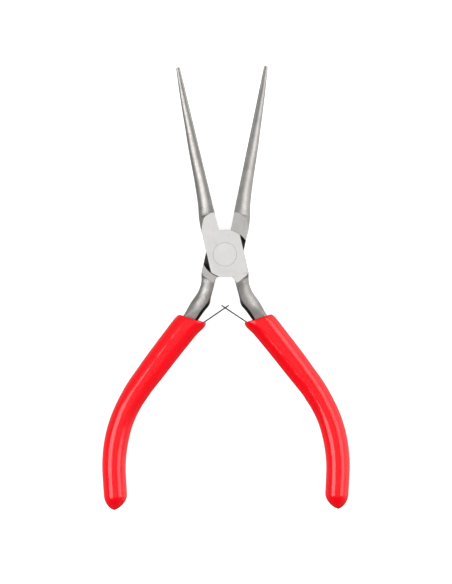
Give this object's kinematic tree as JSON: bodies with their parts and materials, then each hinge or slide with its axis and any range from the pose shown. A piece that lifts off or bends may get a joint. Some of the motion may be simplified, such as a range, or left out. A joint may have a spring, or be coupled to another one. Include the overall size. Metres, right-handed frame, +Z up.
{
  "type": "round nose pliers",
  "caption": "Slim round nose pliers with long tapered jaws, a lap joint on a flush rivet, red dipped grips and crossed leaf springs that hold them open.",
  "frame": {"origin": "on the pivot axis at the underside of the rivet, which is flush with the head and lies in the plane of the bench", "axes": "+Z up along the pivot axis, +Y towards the jaw tips along the line that halves the opening, +X to the right seen from above"},
  "size_m": [0.0798, 0.1423, 0.009],
  "materials": {
    "ground_steel": "satin ground steel, light grey flats on the head and darker forged shanks",
    "rivet_steel": "bright steel rivet, ground flush",
    "spring_steel": "thin dark spring steel strip",
    "red_vinyl": "glossy dipped vinyl"
  },
  "bodies": {
    "lower_side": {"lower_lever": "ground_steel", "pivot_rivet": "rivet_steel", "left_grip": "red_vinyl", "left_spring_foot": "spring_steel", "left_spring_rivet": "rivet_steel"},
    "upper_side": {"upper_lever": "ground_steel", "right_grip": "red_vinyl", "right_spring_foot": "spring_steel", "right_spring_rivet": "rivet_steel"},
    "left_leaf": {"left_spring_leaf": "spring_steel"},
    "right_leaf": {"right_spring_leaf": "spring_steel"}
  },
  "joints": [
    {"name": "jaw_pivot", "type": "hinge", "parent": "lower_side", "child": "upper_side", "pos_m": [0, 0, 0.0045], "axis": [0, 0, -1], "range_deg": [-5, 25.1], "stiffness_Nm_per_rad": 0.7},
    {"name": "left_leaf_flex", "type": "hinge", "parent": "lower_side", "child": "left_leaf", "pos_m": [-0.01074, -0.02437, 0.0045], "axis": [0, 0, 1], "range_deg": [-3.6, 17.8]},
    {"name": "right_leaf_flex", "type": "hinge", "parent": "upper_side", "child": "right_leaf", "pos_m": [0.01074, -0.02437, 0.0045], "axis": [0, 0, -1], "range_deg": [-3.6, 17.8]}
  ],
  "couplings": [
    {"joint": "left_leaf_flex", "follows": "jaw_pivot", "ratio": 0.705},
    {"joint": "right_leaf_flex", "follows": "jaw_pivot", "ratio": 0.705}
  ]
}
